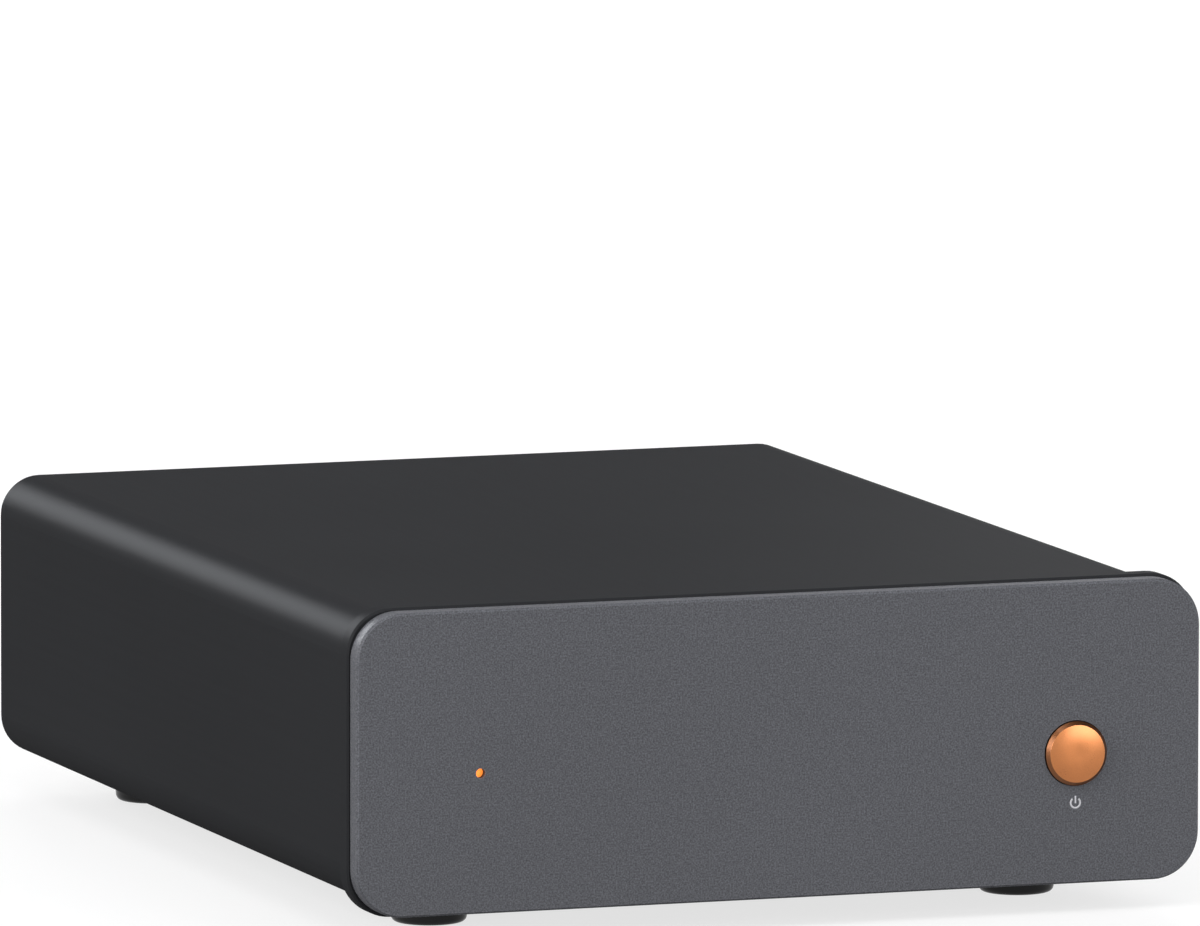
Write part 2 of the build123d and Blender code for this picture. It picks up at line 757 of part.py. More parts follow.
# ---------------------------------------------------------------- cartridge type slide switch
def make_mode_switch_frame():
    """A folded metal case, open at its inner end, with a window for the cap's stem."""
    width = around(mode_x, mode_case_width)
    frame = block(width, (mode_case_front, housing_rear), around(mode_z, mode_case_height))
    inside = around(mode_x, mode_inner_width)
    frame -= block(inside, (mode_case_front, mode_face_inside), around(mode_z, mode_inner_height))
    window_width = mode_stem_width + mode_travel + 2 * mode_stem_clearance
    window_height = mode_stem_height + 2 * mode_stem_clearance
    window = around(mode_x, window_width)
    return frame - block(window, (mode_face_inside, housing_rear), around(mode_z, window_height))


def make_mode_switch_base():
    inside = around(mode_x, mode_inner_width)
    base = block(inside, (mode_case_front, mode_base_end), around(mode_z, mode_inner_height))
    for x in mode_pin_places:
        base -= rod(pin_radius, mode_case_front, mode_base_end, x, mode_z)
    return base


def mode_pin(x):
    """A leg that leaves the base, turns up and passes through the board."""
    pin = rod(pin_radius, mode_pin_y, mode_base_end, x, mode_z)
    return pin + post(pin_radius, mode_z - pin_radius, board_top + mode_pin_above_board, x, mode_pin_y)


def make_mode_slider():
    """The sliding cap, its stem through the window, and the carriage inside the case."""
    x = mode_x + mode_travel / 2
    carriage_y = (mode_base_end + mode_cap_gap, mode_face_inside - mode_cap_gap)
    carriage_height = mode_inner_height - 2 * mode_cap_gap
    slider = block(around(x, mode_carriage_width), carriage_y, around(mode_z, carriage_height))
    cap_y = (housing_rear + mode_cap_gap, panel_face - mode_cap_recess)
    stem_y = (carriage_y[1], cap_y[0])
    slider += block(around(x, mode_stem_width), stem_y, around(mode_z, mode_stem_height))
    slider += block(around(x, mode_cap_width), cap_y, around(mode_z, mode_cap_height))
    groove_y = (cap_y[1] - mode_groove_depth, cap_y[1])
    return slider - block(around(x, mode_groove_width), groove_y, around(mode_z, mode_cap_height))


# ---------------------------------------------------------------- AC power jack
def make_power_jack_ring():
    """The outer contact: a sleeve with an eight-sided opening, slit at the corners, and its leg."""
    ring = rod(power_ring_radius, power_ring_front, power_ring_end, terminal_x, power_jack_z)
    start = (terminal_x, power_ring_front, power_jack_z)
    plane = Plane(origin=start, x_dir=(1, 0, 0), z_dir=(0, 1, 0))
    corner_radius = power_opening_width / 2 / cos(radians(22.5))
    ring -= extrude(plane * RegularPolygon(corner_radius, 8, rotation=22.5), power_ring_depth)
    slit_size = corner_radius + power_notch_depth
    slit = Box(slit_size, power_ring_depth, power_notch_width)
    slit = Pos(slit_size / 2, power_ring_depth / 2, 0) * slit
    for corner in range(8):
        turn = Rot(0, 22.5 + 45 * corner, 0)
        ring -= Pos(*start) * turn * slit
    leg_top = power_jack_z - (power_ring_radius + power_opening_width / 2) / 2
    return ring + post(pin_radius, pin_bottom, leg_top, terminal_x, power_ring_leg_y)


def make_power_jack_body():
    height = (board_top, power_jack_z + power_body_above_axis)
    body = block(around(terminal_x, power_body_width), (power_body_front, housing_rear), height)
    body -= rod(power_ring_radius, power_ring_front, housing_rear, terminal_x, power_jack_z)
    body -= rod(power_pin_root_radius, power_body_front, power_ring_front, terminal_x, power_jack_z)
    return body - post(pin_radius, board_top, power_jack_z, terminal_x, power_ring_leg_y)


def make_power_jack_pin():
    """The split centre pin, with a rounded tip and a leg behind the body."""
    tip = panel_face - power_pin_set_back
    tail = power_body_front - 3 * pin_radius
    pin = rod(power_pin_radius, power_ring_front, tip, terminal_x, power_jack_z)
    pin = fillet(pin.edges().filter_by(GeomType.CIRCLE).sort_by(Axis.Y)[-1], power_pin_round)
    slot_y = (tip - power_pin_slot_depth, tip)
    pin -= block(around(terminal_x, power_pin_slot), slot_y, around(power_jack_z, 2 * power_pin_radius))
    pin += rod(power_pin_root_radius, tail, power_ring_front, terminal_x, power_jack_z)
    return pin + post(pin_radius, pin_bottom, power_jack_z, terminal_x, power_pin_leg_y)


# ---------------------------------------------------------------- ground terminal
def make_ground_post():
    start = housing_rear - ground_post_inside
    stud = rod(ground_post_radius, start, ground_end, terminal_x, ground_z)
    bore_floor = ground_end - ground_bore_depth
    return stud - rod(ground_bore_radius, bore_floor, ground_end, terminal_x, ground_z)


def make_ground_washer():
    washer = rod(ground_washer_radius, ground_washer_front, ground_nut_front, terminal_x, ground_z)
    return washer - rod(ground_thread_bore, ground_washer_front, ground_nut_front, terminal_x, ground_z)


def make_ground_nut():
    """A round thumb nut with grooves all round its rim."""
    plane = Plane(origin=(terminal_x, ground_nut_front, ground_z), x_dir=(1, 0, 0), z_dir=(0, 1, 0))
    grooves = PolarLocations(ground_nut_radius, ground_nut_teeth) * Circle(ground_groove_radius)
    outline = Circle(ground_nut_radius) - grooves - Circle(ground_thread_bore)
    nut = extrude(plane * outline, ground_nut_length)
    rim = ground_nut_radius - ground_nut_chamfer
    envelope = turned(
        [
            (0, ground_nut_front),
            (rim, ground_nut_front),
            (ground_nut_radius, ground_nut_front + ground_nut_chamfer),
            (ground_nut_radius, ground_end - ground_nut_chamfer),
            (rim, ground_end),
            (0, ground_end),
        ],
        terminal_x,
        ground_z,
    )
    return nut & envelope


def make_ground_hex_nut():
    start = ground_lug_front - ground_hex_thickness
    nut = hexagon_bar(ground_hex_width, start, ground_lug_front, terminal_x, ground_z)
    return nut - rod(ground_post_radius, start, ground_lug_front, terminal_x, ground_z)


def make_ground_lug():
    span = (ground_lug_front, housing_rear)
    tab = (terminal_x, terminal_x + ground_lug_tab_length)
    lug = rod(ground_lug_radius, *span, terminal_x, ground_z)
    lug += block(tab, span, around(ground_z, ground_lug_tab_width))
    return lug - rod(ground_post_radius, *span, terminal_x, ground_z)


def make_ground_wire():
    """An insulated wire from the lug's tab to the board."""
    x = terminal_x + ground_lug_tab_length - ground_lug_tab_width / 2
    turn_y = ground_lug_front - ground_wire_length
    start = (x, ground_lug_front, ground_z)
    path = FilletPolyline(start, (x, turn_y, ground_z), (x, turn_y, board_top), radius=ground_wire_bend)
    return sweep(Plane(origin=start, z_dir=(0, -1, 0)) * Circle(ground_wire_radius), path=path)


# ---------------------------------------------------------------- power button and its switch
def make_power_button():
    """A turned metal cap with a bevel round its slightly domed face, and a flange behind the frame."""
    face_front = face_y - button_proud
    bevel_front = face_front + button_dome
    face_radius = button_radius - button_bevel
    flange_front = button_rear - button_flange_thickness
    grip_front = button_rear - plunger_grip
    dome = TangentArc((button_flat_radius, face_front), (face_radius, bevel_front), tangent=(1, 0))
    sides = Polyline(
        (face_radius, bevel_front),
        (button_radius, bevel_front + button_bevel),
        (button_radius, flange_front),
        (button_flange_radius, flange_front),
        (button_flange_radius, button_rear),
        (plunger_radius, button_rear),
        (plunger_radius, grip_front),
        (0, grip_front),
        (0, face_front),
        (button_flat_radius, face_front),
    )
    return Pos(button_x, 0, button_z) * revolve(make_face(dome + sides), Axis.Y)


def make_power_switch_plunger():
    head_front = chamber_front + button_rest_gap
    plunger = rod(plunger_radius, button_rear - plunger_grip, head_front, button_x, button_z)
    return plunger + rod(plunger_head_radius, head_front, plunger_rear, button_x, button_z)


def make_power_switch_case():
    height = (board_top, button_z + power_switch_above_axis)
    case = block(around(button_x, power_switch_width), (switch_front, switch_rear), height)
    case -= rod(power_chamber_radius, chamber_front, chamber_rear, button_x, button_z)
    return case - rod(plunger_radius + plunger_clearance, switch_front, chamber_front, button_x, button_z)


def make_power_switch_spring():
    """The coil spring that pushes the plunger back."""
    start = plunger_rear + spring_wire_radius + spring_end_gap
    length = chamber_rear - spring_wire_radius - spring_end_gap - start
    coil = Helix(length / spring_turns, length, spring_radius)
    wire = sweep(Plane(origin=coil @ 0, z_dir=coil % 0) * Circle(spring_wire_radius), path=coil)
    return Pos(button_x, start, button_z) * Rot(-90, 0, 0) * wire


# ---------------------------------------------------------------- power light
def make_light_guide():
    """A clear stepped rod: a thin tip in the faceplate's hole and a thick body behind it."""
    tip = rod(light_hole_radius, face_y + light_set_back, film_y, light_x, light_z)
    return tip + rod(light_guide_radius, film_y, housing_front + light_guide_reach, light_x, light_z)


def make_led():
    lens_end = led_front + led_length
    lens = rod(led_radius, led_front, lens_end, light_x, light_z)
    lens = fillet(lens.edges().filter_by(GeomType.CIRCLE).sort_by(Axis.Y)[0], led_radius * led_dome_share)
    led = lens + rod(led_flange_radius, lens_end, led_rear, light_x, light_z)
    for x in led_leg_places:
        led += rod(led_leg_radius, led_rear, led_leg_y, x, light_z)
        led += post(led_leg_radius, pin_bottom, light_z + led_leg_radius, x, led_leg_y)
    return led


def make_led_holder():
    lens_end = led_front + led_length
    start = led_front + led_length / 3
    height = (board_top, light_z + led_holder_width / 2)
    holder = block(around(light_x, led_holder_width), (start, lens_end), height)
    return holder - rod(led_radius, start, lens_end, light_x, light_z)


# ---------------------------------------------------------------- parts on the board
def stand(size, x, y, lift=0):
    """A box of the given size that stands on the board, or lift above it."""
    width, depth, height = size
    bottom = board_top + lift
    return block(around(x, width), around(y, depth), (bottom, bottom + height))


def make_can(radius, height, x, y):
    """An electrolytic capacitor: a can with a rolled groove near its foot."""
    can = post(radius, board_top, board_top + height, x, y)
    can = fillet(can.edges().filter_by(GeomType.CIRCLE).sort_by(Axis.Z)[-1], can_round)
    ring = post(radius, board_top + can_groove, board_top + 2 * can_groove, x, y)
    return can - (ring - post(radius - can_groove / 2, board_top, board_top + height, x, y))


def make_leaded(radius, length, x, y):
    """A small round part lying across the board on two bent leads."""
    z = board_top + radius + lead_radius
    turn = Rot(0, 90, 0)
    part = Pos(x, y, z) * turn * Cylinder(radius, length)
    part += Pos(x, y, z) * turn * Cylinder(lead_radius, length + 2 * lead_reach)
    for side in (-1, 1):
        part += post(lead_radius, board_top, z, x + side * (length / 2 + lead_reach), y)
    return part


def make_cans(radius, height, columns, rows):
    return Compound(children=[make_can(radius, height, x, y) for x in columns for y in rows])


def make_leaded_rows(radius, length, columns, rows):
    return Compound(children=[make_leaded(radius, length, x, y) for x in columns for y in rows])


def make_film_capacitors():
    return Compound(children=[stand(film_capacitor_size, x, y) for x in channel_x for y in film_rows])


def make_op_amp_sockets():
    return Compound(children=[stand(socket_size, x, y) for x in channel_x for y in op_amp_rows])


def make_op_amps():
    chips = []
    for x in channel_x:
        for y in op_amp_rows:
            chip = stand(chip_size, x, y, socket_size[2])
            top = board_top + socket_size[2] + chip_size[2]
            mark = post(chip_mark_radius, board_top, top, x, y - chip_size[1] / 2)
            chips.append(chip - mark)
    return Compound(children=chips)


def make_regulators():
    """Upright regulators, each with its metal tab against a heatsink."""
    regulators = []
    for y in regulator_rows:
        body = stand(regulator_size, regulator_x, y, regulator_lift)
        tab_x = regulator_x - regulator_size[0] / 2 - regulator_tab_thickness / 2
        tab_size = (regulator_tab_thickness, regulator_size[1], regulator_tab_height)
        body += stand(tab_size, tab_x, y, regulator_lift)
        for offset in (-1, 0, 1):
            leg_y = y + offset * led_leg_pitch
            body += post(lead_radius, board_top, board_top + regulator_lift, regulator_x, leg_y)
        regulators.append(body)
    return Compound(children=regulators)


def make_heatsinks():
    """Finned plates behind the regulators."""
    heatsinks = []
    thickness, width, height = heatsink_size
    face_x = regulator_x - regulator_size[0] / 2 - regulator_tab_thickness
    plate_x = face_x - thickness / 2
    for y in regulator_rows:
        sink = stand(heatsink_size, plate_x, y)
        pitch = (width - heatsink_fin_thickness) / (heatsink_fin_count - 1)
        for fin in range(heatsink_fin_count):
            fin_y = y - width / 2 + heatsink_fin_thickness / 2 + fin * pitch
            fin_x = face_x - thickness - heatsink_fin_length / 2
            sink += stand((heatsink_fin_length, heatsink_fin_thickness, height), fin_x, fin_y)
        heatsinks.append(sink)
    return Compound(children=heatsinks)


# ---------------------------------------------------------------- main board
def make_main_board():
    """The board, with a hole for every leg that passes through it."""
    board = block(around(0, board_width), (board_front, board_rear), (board_bottom, board_top))
    for x in jack_places.values():
        board -= post(pin_radius, board_bottom, board_top, x, shell_leg_y)
        board -= post(pin_radius, board_bottom, board_top, x, contact_leg_y)
    for x, y in switch_pin_places:
        board -= post(pin_radius, board_bottom, board_top, x, y)
    for x in mode_pin_places:
        board -= post(pin_radius, board_bottom, board_top, x, mode_pin_y)
    for y in (power_ring_leg_y, power_pin_leg_y):
        board -= post(pin_radius, board_bottom, board_top, terminal_x, y)
    for x in led_leg_places:
        board -= post(led_leg_radius, board_bottom, board_top, x, led_leg_y)
    return board


def make_switch_pins():
    """The legs of the gain switch, the power switch and the slide switch."""
    pins = [post(pin_radius, pin_bottom, gain_case_bottom, x, gain_pin_y) for x in gain_pin_places]
    pins += [post(pin_radius, pin_bottom, board_top, x, y) for x, y in power_pin_places]
    pins += [mode_pin(x) for x in mode_pin_places]
    return Compound(children=pins)


# ---------------------------------------------------------------- write the parts
parts = {
    "housing": make_housing(),
    "front_frame": make_front_frame(),
    "front_screws": make_front_screws(),
    "faceplate_film": make_faceplate_film(),
    "faceplate": make_faceplate(),
    "rear_panel": make_rear_panel(),
    "rear_screws": make_rear_screws(),
    "feet": make_feet(),
    "foot_screws": make_foot_screws(),
    "main_board": make_main_board(),
    "switch_pins": make_switch_pins(),
    "input_jack_block": make_jack_block(input_pair_x),
    "output_jack_block": make_jack_block(output_pair_x),
    "input_contacts": make_jack_contacts("input"),
    "output_contacts": make_jack_contacts("output"),
    "gain_switch_case": make_gain_switch_case(),
    "gain_bushing": make_gain_bushing(),
    "gain_rotor": make_gain_rotor(),
    "gain_shaft": make_gain_shaft(),
    "gain_knob": make_gain_knob(),
    "mode_switch_frame": make_mode_switch_frame(),
    "mode_switch_base": make_mode_switch_base(),
    "mode_slider": make_mode_slider(),
    "power_jack_ring": make_power_jack_ring(),
    "power_jack_body": make_power_jack_body(),
    "power_jack_pin": make_power_jack_pin(),
    "ground_post": make_ground_post(),
    "ground_washer": make_ground_washer(),
    "ground_nut": make_ground_nut(),
    "ground_hex_nut": make_ground_hex_nut(),
    "ground_lug": make_ground_lug(),
    "ground_wire": make_ground_wire(),
    "power_button": make_power_button(),
    "power_switch_plunger": make_power_switch_plunger(),
    "power_switch_case": make_power_switch_case(),
    "power_switch_spring": make_power_switch_spring(),
    "light_guide": make_light_guide(),
    "led": make_led(),
    "led_holder": make_led_holder(),
    "filter_capacitors": make_cans(capacitor_radius, capacitor_height, [terminal_x], capacitor_rows),
    "rectifier_diodes": make_leaded_rows(diode_radius, diode_length, [terminal_x], diode_rows),
    "coupling_capacitors": make_cans(coupling_radius, coupling_height, channel_x, coupling_rows),
    "film_capacitors": make_film_capacitors(),
    "resistors": make_leaded_rows(resistor_radius, resistor_length, channel_x, resistor_rows),
    "op_amp_sockets": make_op_amp_sockets(),
    "op_amps": make_op_amps(),
    "voltage_regulators": make_regulators(),
    "heatsinks": make_heatsinks(),
}
for name, x in jack_places.items():
    parts[name + "_shell"] = make_jack_shell(x)
    parts[name + "_insulator"] = make_jack_insulator(x)

os.makedirs("parts", exist_ok=True)
for name, shape in parts.items():
    export_step(shape, "parts/" + name + ".step")
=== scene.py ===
"""A phono preamplifier on a pale floor: a black housing on four feet, a slate faceplate and a rear panel."""
import math

import bpy
from mathutils import Euler, Matrix, Vector
from mathutils.geometry import interpolate_bezier


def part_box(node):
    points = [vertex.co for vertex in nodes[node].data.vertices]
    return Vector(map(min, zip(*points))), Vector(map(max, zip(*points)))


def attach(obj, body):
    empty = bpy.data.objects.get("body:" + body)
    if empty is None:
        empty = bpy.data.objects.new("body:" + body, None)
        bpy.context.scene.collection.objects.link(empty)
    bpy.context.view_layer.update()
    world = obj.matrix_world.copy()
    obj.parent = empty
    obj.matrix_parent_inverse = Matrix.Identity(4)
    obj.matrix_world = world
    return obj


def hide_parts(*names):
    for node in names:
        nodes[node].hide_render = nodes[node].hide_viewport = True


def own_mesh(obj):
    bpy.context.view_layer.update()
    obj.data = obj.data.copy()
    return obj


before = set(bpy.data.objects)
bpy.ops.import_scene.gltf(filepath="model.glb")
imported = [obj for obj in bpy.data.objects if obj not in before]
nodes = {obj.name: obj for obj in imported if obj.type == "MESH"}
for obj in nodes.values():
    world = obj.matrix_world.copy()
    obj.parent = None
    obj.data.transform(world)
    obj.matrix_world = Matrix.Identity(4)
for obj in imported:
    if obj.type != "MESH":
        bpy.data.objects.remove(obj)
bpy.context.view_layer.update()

# ---------------------------------------------------------------- camera
# A long lens a good two metres away, a little left of the unit and just above it, nearly level. It heads
# to the right of straight ahead and drops below level, and is tilted a hair about its own axis.
heading = math.radians(19.4608)
drop = math.radians(7.3769)
tilt = math.radians(0.0973)
camera_place = (-0.80074, -2.27781, 0.35871)
focal_length = 603.23
sensor_width = 36
ahead = Vector((math.sin(heading) * math.cos(drop), math.cos(heading) * math.cos(drop), -math.sin(drop)))
level = Vector((math.cos(heading), -math.sin(heading), 0))
above = level.cross(ahead)
right = level * math.cos(tilt) + above * math.sin(tilt)
up = above * math.cos(tilt) - level * math.sin(tilt)
turn = Matrix((right, up, -ahead)).transposed()
bpy.ops.object.camera_add(location=camera_place, rotation=turn.to_euler())
camera = bpy.context.object
camera.data.lens = focal_length
camera.data.sensor_width = sensor_width
camera.data.clip_start = 0.1
camera.data.clip_end = 20
bpy.context.scene.camera = camera
bpy.context.scene.view_settings.view_transform = "Standard"

# ---------------------------------------------------------------- light and floor
# A pale room with soft boxes round the unit, and a matt pale floor that keeps the unit's shadow. The
# room shows white behind the unit and in bright metal, and is darker high above it.
fill_colour = (0.97, 0.98, 1)
fill_strength = 0.45
white_up_to = 0.12      # steepness of the direction, which is 1 straight up
dim_from = 0.42
dim_strength = 0.15
floor_width = 8
floor_colour = (0.26, 0.26, 0.26)
floor_glow = 0.74       # added where the floor is seen straight, to bring it close to white
floor_mirrored = 0.45   # added where it is seen in metal


def seen_directly(tree, straight, mirrored):
    """STRAIGHT where the camera looks, MIRRORED in bright metal or through glass, and 0 for other rays."""
    path = tree.nodes.new("ShaderNodeLightPath")
    total = None
    for kind, strength in (("Camera", straight), ("Glossy", mirrored), ("Transmission", mirrored)):
        scaled = tree.nodes.new("ShaderNodeMath")
        scaled.operation = "MULTIPLY"
        scaled.inputs[1].default_value = strength
        tree.links.new(path.outputs[f"Is {kind} Ray"], scaled.inputs[0])
        if total:
            larger = tree.nodes.new("ShaderNodeMath")
            larger.operation = "MAXIMUM"
            tree.links.new(total, larger.inputs[0])
            tree.links.new(scaled.outputs[0], larger.inputs[1])
            total = larger.outputs[0]
        else:
            total = scaled.outputs[0]
    return total


def soft_box(name, place, aim, width, height, power, colour=(1, 1, 1), light=True, sheen=True):
    """A rectangular lamp at PLACE that faces AIM. It gives both its light and a sheen, unless one is off."""
    bpy.ops.object.light_add(type="AREA", location=place)
    lamp = bpy.context.object
    lamp.name = name
    lamp.data.shape = "RECTANGLE"
    lamp.data.size = width
    lamp.data.size_y = height
    lamp.data.energy = power
    lamp.data.color = colour
    lamp.visible_diffuse = light
    lamp.visible_glossy = sheen
    lamp.rotation_euler = (Vector(aim) - Vector(place)).to_track_quat("-Z", "Y").to_euler()


world = bpy.data.worlds.new("room")
bpy.context.scene.world = world
world.use_nodes = True
room = world.node_tree.nodes
room_links = world.node_tree.links
room.clear()
out = room.new("ShaderNodeOutputWorld")
walls = room.new("ShaderNodeBackground")
walls.inputs["Color"].default_value = (1, 1, 1, 1)
direction = room.new("ShaderNodeTexCoord")
steepness = room.new("ShaderNodeSeparateXYZ")
room_links.new(direction.outputs["Generated"], steepness.inputs[0])
ceiling = room.new("ShaderNodeMapRange")
ceiling.interpolation_type = "SMOOTHSTEP"
ceiling.inputs["From Min"].default_value = white_up_to
ceiling.inputs["From Max"].default_value = dim_from
ceiling.inputs["To Min"].default_value = 1
ceiling.inputs["To Max"].default_value = dim_strength
room_links.new(steepness.outputs["Z"], ceiling.inputs["Value"])
room_links.new(ceiling.outputs["Result"], walls.inputs["Strength"])
fill = room.new("ShaderNodeBackground")
fill.inputs["Color"].default_value = (*fill_colour, 1)
fill.inputs["Strength"].default_value = fill_strength
mix = room.new("ShaderNodeMixShader")
room_links.new(seen_directly(world.node_tree, 1, 1), mix.inputs[0])
room_links.new(fill.outputs[0], mix.inputs[1])
room_links.new(walls.outputs[0], mix.inputs[2])
room_links.new(mix.outputs[0], out.inputs["Surface"])

# Of the soft boxes, the first three light the top, the left side and the faceplate.
soft_box("high_box", place=(-0.15, -0.75, 1.0), aim=(0, 0, 0), width=1.0, height=0.6, power=5.1)
soft_box("left_box", place=(-1.15, -0.3, 0.52), aim=(0, 0, 0.02), width=0.6, height=0.8, power=9.6)
soft_box("front_box", place=(0.66, -1.23, 0.38), aim=(0, 0, 0.02), width=0.72, height=0.56, power=5.7)
# The next two stand behind the unit, for the sheen on its top and upper edges.
soft_box("rear_box", place=(-0.29, 1.15, 0.37), aim=(-0.05, 0, 0.04), width=0.42, height=0.40, power=8.4,
         colour=(0.93, 0.96, 1.0), light=False)
soft_box("rear_side_box", place=(0.62, 1.0, 0.26), aim=(0, 0, 0.04), width=0.4, height=0.3, power=1.0)
# The last one lights the rear panel and leaves no sheen.
soft_box("rear_high_box", place=(0.45, 1.3, 0.55), aim=(0, 0, 0.02), width=0.6, height=0.5, power=12.5,
         sheen=False)

bpy.ops.mesh.primitive_plane_add(size=floor_width)
floor = bpy.context.object
floor.name = "floor"
pale = bpy.data.materials.new("pale_floor")
pale.use_nodes = True
matt = pale.node_tree.nodes["Principled BSDF"]
matt.inputs["Base Color"].default_value = (*floor_colour, 1)
matt.inputs["Roughness"].default_value = 0.9
matt.inputs["Specular IOR Level"].default_value = 0.1
matt.inputs["Emission Color"].default_value = (1, 1, 1, 1)
floor_light = seen_directly(pale.node_tree, floor_glow, floor_mirrored)
pale.node_tree.links.new(floor_light, matt.inputs["Emission Strength"])
floor.data.materials.append(pale)

# ---------------------------------------------------------------- housing and front frame
# The housing is one length of extruded aluminium tube. It and the frame screwed to its front end are
# blasted with fine beads and anodised black, so they are dull, with the die's lines barely showing.
speck_span = (0.3, 0.7)     # where nearly all of a noise texture's values lie
edge_span = (0.7, 0.99)     # how far two normals agree, from an edge to a flat
first_colour = 6            # the mix node's sockets for colours
second_colour = 7
mixed_colour = 2


def finish(name, colour, roughness, metallic=0.0, specular=0.5, sheen_coat=(0, 0)):
    """A finish whose plain values are on the shader's own sockets.

    SHEEN_COAT is the weight and the roughness of a clear coat.
    """
    material = bpy.data.materials.new(name)
    material.use_nodes = True
    sockets = material.node_tree.nodes["Principled BSDF"].inputs
    sockets["Base Color"].default_value = (*colour, 1)
    sockets["Roughness"].default_value = roughness
    sockets["Metallic"].default_value = metallic
    sockets["Specular IOR Level"].default_value = specular
    sockets["Coat Weight"].default_value = sheen_coat[0]
    sockets["Coat Roughness"].default_value = sheen_coat[1]
    return material


def tint(material, factor):
    """Multiply the finish's colour so far by FACTOR, a socket."""
    tree = material.node_tree
    colour = tree.nodes["Principled BSDF"].inputs["Base Color"]
    product = tree.nodes.new("ShaderNodeMix")
    product.data_type = "RGBA"
    product.blend_type = "MULTIPLY"
    product.inputs["Factor"].default_value = 1
    if colour.is_linked:
        tree.links.new(colour.links[0].from_socket, product.inputs[first_colour])
    else:
        product.inputs[first_colour].default_value = colour.default_value
    tree.links.new(factor, product.inputs[second_colour])
    tree.links.new(product.outputs[mixed_colour], colour)


def spread(tree, value, low, high, lowest, highest):
    """Stretch the span LOW to HIGH of a socket over LOWEST to HIGHEST."""
    span = tree.nodes.new("ShaderNodeMapRange")
    span.inputs["From Min"].default_value = low
    span.inputs["From Max"].default_value = high
    span.inputs["To Min"].default_value = lowest
    span.inputs["To Max"].default_value = highest
    tree.links.new(value, span.inputs["Value"])
    return span.outputs["Result"]


def grain(material, cell, run=(1, 1, 1), tones=0.0, gloss=0.0, height=0.0):
    """Add specks of CELL millimetres, drawn out by RUN, to a finish.

    TONES is the share by which they lighten and darken it, GLOSS the roughness that they add and take,
    and HEIGHT their height in millimetres.
    """
    tree = material.node_tree
    sockets = tree.nodes["Principled BSDF"].inputs
    place = tree.nodes.new("ShaderNodeTexCoord")
    drawn = tree.nodes.new("ShaderNodeMapping")
    drawn.vector_type = "TEXTURE"
    drawn.inputs["Scale"].default_value = [cell / 1000 * part for part in run]
    speck = tree.nodes.new("ShaderNodeTexNoise")
    speck.inputs["Scale"].default_value = 1
    speck.inputs["Detail"].default_value = 2
    tree.links.new(place.outputs["Object"], drawn.inputs["Vector"])
    tree.links.new(drawn.outputs["Vector"], speck.inputs["Vector"])
    value = speck.outputs["Fac"]
    if tones:
        tint(material, spread(tree, value, *speck_span, 1 - tones, 1 + tones))
    if gloss:
        rough = sockets["Roughness"]
        added = tree.nodes.new("ShaderNodeMath")
        added.operation = "ADD"
        added.use_clamp = True
        if rough.is_linked:
            tree.links.new(rough.links[0].from_socket, added.inputs[0])
        else:
            added.inputs[0].default_value = rough.default_value
        tree.links.new(spread(tree, value, *speck_span, -gloss, gloss), added.inputs[1])
        tree.links.new(added.outputs[0], rough)
    if height:
        relief = tree.nodes.new("ShaderNodeBump")
        relief.inputs["Distance"].default_value = height / 1000
        if sockets["Normal"].is_linked:
            tree.links.new(sockets["Normal"].links[0].from_socket, relief.inputs["Normal"])
        tree.links.new(value, relief.inputs["Height"])
        tree.links.new(relief.outputs["Normal"], sockets["Normal"])


def painted_edge_highlight(material, width, lighter):
    """Paint a highlight within WIDTH millimetres of sharp edges, lightening a finish by up to LIGHTER times
    its colour.
    """
    tree = material.node_tree
    rounded = tree.nodes.new("ShaderNodeBevel")
    rounded.samples = 4
    rounded.inputs["Radius"].default_value = width / 1000
    flat = tree.nodes.new("ShaderNodeNewGeometry")
    match = tree.nodes.new("ShaderNodeVectorMath")
    match.operation = "DOT_PRODUCT"
    tree.links.new(rounded.outputs["Normal"], match.inputs[0])
    tree.links.new(flat.outputs["Normal"], match.inputs[1])
    tint(material, spread(tree, match.outputs["Value"], *edge_span, 1 + lighter, 1))


def dress(material, *names):
    """Put a finish on every material slot of the named solids."""
    for name in names:
        for slot in nodes[name].material_slots:
            slot.material = material


black_anodised = finish("black_anodised", (0.0250, 0.0256, 0.0278), 0.6, specular=0, sheen_coat=(0.075, 0.38))
grain(black_anodised, 60, tones=0.04, gloss=0.02)
grain(black_anodised, 0.8, run=(1, 80, 1), tones=0.02, height=0.002)
grain(black_anodised, 0.16, tones=0.05, gloss=0.04, height=0.002)
# The sharp edges of housing and frame are lightened as a painted highlight.
painted_edge_highlight(black_anodised, 0.25, 0.5)
dress(black_anodised, "housing", "front_frame")

# ---------------------------------------------------------------- faceplate and its film
# A milled aluminium plate, blasted more coarsely and anodised slate grey, with a painted highlight along its
# cut edge.
# A black adhesive film holds it to the frame and shows as a dark joint line.
slate_anodised = finish("slate_anodised", (0.108, 0.110, 0.122), 0.5, specular=0, sheen_coat=(0.3, 0.4))
grain(slate_anodised, 45, tones=0.03)
grain(slate_anodised, 0.4, tones=0.07, gloss=0.04)
grain(slate_anodised, 0.2, tones=0.36, gloss=0.06, height=0.008)
# The cut edge is lightened as a painted highlight.
painted_edge_highlight(slate_anodised, 0.2, 0.9)
dress(slate_anodised, "faceplate")

black_film = finish("black_film", (0.060, 0.060, 0.063), 0.7, specular=0.3)
grain(black_film, 0.4, tones=0.15, gloss=0.08)
dress(black_film, "faceplate_film")

# ---------------------------------------------------------------- power button
# A turned aluminium cap, anodised copper. Its slightly domed face is cut with a fine feed, which leaves it
# satin, and the bevel round the face and the side are darkened with painted shade.
face_edge = (3.42, 3.46)    # where the face ends and the bevel starts, in millimetres from the axis
painted_bevel_shade = 0.40


def middle_of(name):
    """The middle of a solid's box."""
    low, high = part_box(name)
    return (low + high) / 2


